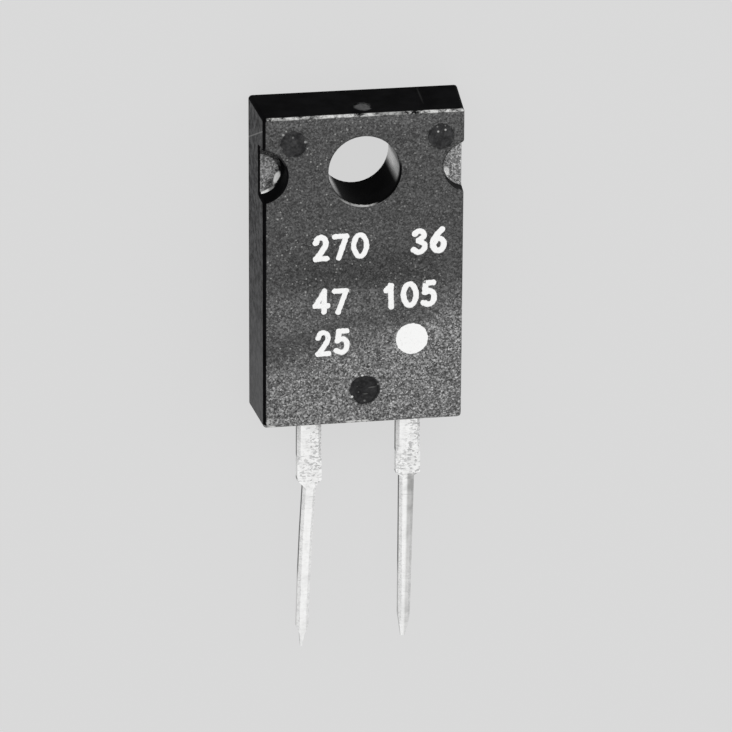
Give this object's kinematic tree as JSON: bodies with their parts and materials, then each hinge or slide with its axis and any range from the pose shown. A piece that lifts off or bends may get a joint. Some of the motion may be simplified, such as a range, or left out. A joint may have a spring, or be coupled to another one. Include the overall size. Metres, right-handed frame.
{
  "type": "power resistor",
  "caption": "Flat moulded power resistor that screws to a heat sink, with a bare ceramic back, notched sides and stamped solder leads at one end.",
  "frame": {"origin": "where the axis of the screw hole meets the mounting face", "axes": "+Z leaves the marked face along the screw hole; +Y points to the screw-hole end, away from the leads; +X is to the right when the marking is read. The part lies on its mounting face, z = 0."},
  "size_m": [0.0106, 0.0293, 0.0035],
  "materials": {
    "moulding_compound": "black glass-filled moulding compound, finely speckled grey on the marked face, smooth on the ends",
    "alumina": null,
    "terminal_print": "matt fired silver print",
    "resistive_print": "matt black fired film",
    "glass_coat": "glossy green fired glass",
    "solder": "bright solder",
    "tinned_copper": "satin tin plate with fine scratches along and across",
    "marking_ink": "white stamping ink, a thin film"
  },
  "bodies": {
    "root": {"moulded_case": "moulding_compound", "ceramic_tile": "alumina", "left_film_terminal": "terminal_print", "right_film_terminal": "terminal_print", "resistive_film": "resistive_print", "cover_coat": "glass_coat", "left_solder_joint": "solder", "right_solder_joint": "solder", "left_lead": "tinned_copper", "right_lead": "tinned_copper"}
  },
  "joints": []
}
